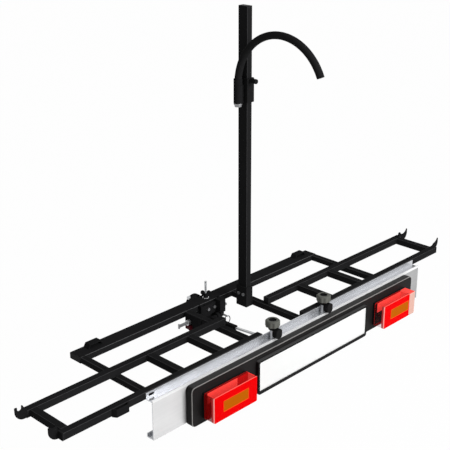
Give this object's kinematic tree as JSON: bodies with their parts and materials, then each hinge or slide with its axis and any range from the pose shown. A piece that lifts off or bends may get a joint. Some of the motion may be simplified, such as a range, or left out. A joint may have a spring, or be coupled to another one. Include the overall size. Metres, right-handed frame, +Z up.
{
  "type": "hitch motorcycle carrier",
  "caption": "Tow ball carrier for a motorcycle: ladder wheel track on a tubular frame, clamp coupling, mast with a swivelling curved arm, and a light board with lamps and number plate.",
  "frame": {"origin": "middle of the tow ball that the cup sits on", "axes": "+X along the wheel track, +Y towards the car, +Z up"},
  "size_m": [1.766, 0.476, 1.087],
  "materials": {
    "frame_black": "satin",
    "track_black": "satin",
    "fitting_black": "satin",
    "cap_black": "matte",
    "carrier_metal": "brushed",
    "board_black": "satin",
    "plate_white": "gloss",
    "lens_red": "gloss",
    "lens_clear": "gloss",
    "amber": "gloss",
    "knob_grey": "matte",
    "zinc_steel": "satin",
    "block_red": "matte"
  },
  "bodies": {
    "frame": {"car_side_beam": "frame_black", "left_side_tube": "frame_black", "right_side_tube": "frame_black", "left_inner_tube": "frame_black", "right_inner_tube": "frame_black", "left_far_rail": "track_black", "left_near_rail": "track_black", "right_far_rail": "track_black", "right_near_rail": "track_black", "left_rungs": "track_black", "right_rungs": "track_black", "left_end_hooks": "fitting_black", "right_end_hooks": "fitting_black", "strap_loops": "fitting_black", "tube_plugs": "cap_black", "light_carrier": "carrier_metal", "carrier_screw": "cap_black", "light_board": "board_black", "plate_holder": "board_black", "number_plate": "plate_white", "left_lamp_base": "board_black", "left_lamp_lens": "lens_red", "right_lamp_base": "board_black", "right_lamp_lens": "lens_red", "right_lamp_clear": "lens_clear", "lamp_ambers": "amber", "knob_studs": "zinc_steel", "knob_spacers": "zinc_steel", "board_hooks": "cap_black", "ball_cup": "fitting_black", "coupling_cheeks": "fitting_black", "front_plate": "fitting_black", "coupling_bolts": "zinc_steel", "back_plate": "fitting_black", "back_plate_bolt": "zinc_steel", "clamp_rod": "zinc_steel", "rod_washer": "zinc_steel", "screw_bracket": "fitting_black", "screw_bush": "zinc_steel", "stop_block": "block_red", "mast_socket": "fitting_black", "mast_bolts": "zinc_steel", "mast": "frame_black", "mast_cap": "cap_black"},
    "collar": {"arm_collar": "fitting_black"},
    "clamp_screw": {"clamp_screw": "fitting_black"},
    "arm": {"arm": "track_black", "arm_spigot": "fitting_black", "arm_nut": "zinc_steel", "arm_cap": "cap_black"},
    "left_knob": {"left_star_knob": "knob_grey"},
    "right_knob": {"right_star_knob": "knob_grey"},
    "wing_nut": {"wing_nut": "fitting_black"},
    "lever": {"cross_shaft": "zinc_steel", "clamp_jaw": "fitting_black", "clamp_lever": "fitting_black", "lever_bar": "zinc_steel"},
    "t_handle": {"t_handle_screw": "zinc_steel"},
    "pin": {"pull_pin": "zinc_steel"},
    "ring": {"pull_ring": "zinc_steel"}
  },
  "joints": [
    {"name": "collar_slide", "type": "slide", "parent": "frame", "child": "collar", "axis": [0, 0, 1], "range_m": [-0.55, 0.19]},
    {"name": "clamp_screw_turn", "type": "hinge", "parent": "collar", "child": "clamp_screw", "pos_m": [0.0834, -0.135, 0.787], "axis": [0, 1, 0], "continuous": true},
    {"name": "arm_swivel", "type": "hinge", "parent": "collar", "child": "arm", "pos_m": [0.0521, -0.0976, 0.75], "axis": [0, 0, 1], "range_deg": [-160, 15]},
    {"name": "left_knob_turn", "type": "hinge", "parent": "frame", "child": "left_knob", "pos_m": [-0.061, -0.3503, 0.1], "axis": [0, 0, 1], "continuous": true},
    {"name": "right_knob_turn", "type": "hinge", "parent": "frame", "child": "right_knob", "pos_m": [0.183, -0.3503, 0.1], "axis": [0, 0, 1], "continuous": true},
    {"name": "wing_nut_turn", "type": "hinge", "parent": "frame", "child": "wing_nut", "pos_m": [0, 0, 0.06], "axis": [0, 0, 1], "continuous": true},
    {"name": "lever_swing", "type": "hinge", "parent": "frame", "child": "lever", "pos_m": [-0.072, -0.053, 0.002], "axis": [-1, 0, 0], "range_deg": [0, 40]},
    {"name": "t_handle_turn", "type": "hinge", "parent": "frame", "child": "t_handle", "pos_m": [-0.13, -0.051, 0.025], "axis": [1, 0, 0], "continuous": true},
    {"name": "pin_pull", "type": "slide", "parent": "frame", "child": "pin", "axis": [0, -1, 0], "range_m": [0, 0.012], "stiffness_N_per_m": 200, "springref_m": -0.003},
    {"name": "ring_swing", "type": "hinge", "parent": "pin", "child": "ring", "pos_m": [0.018, -0.0802, 0.005], "axis": [-1, 0, 0], "range_deg": [-25, 85]}
  ]
}
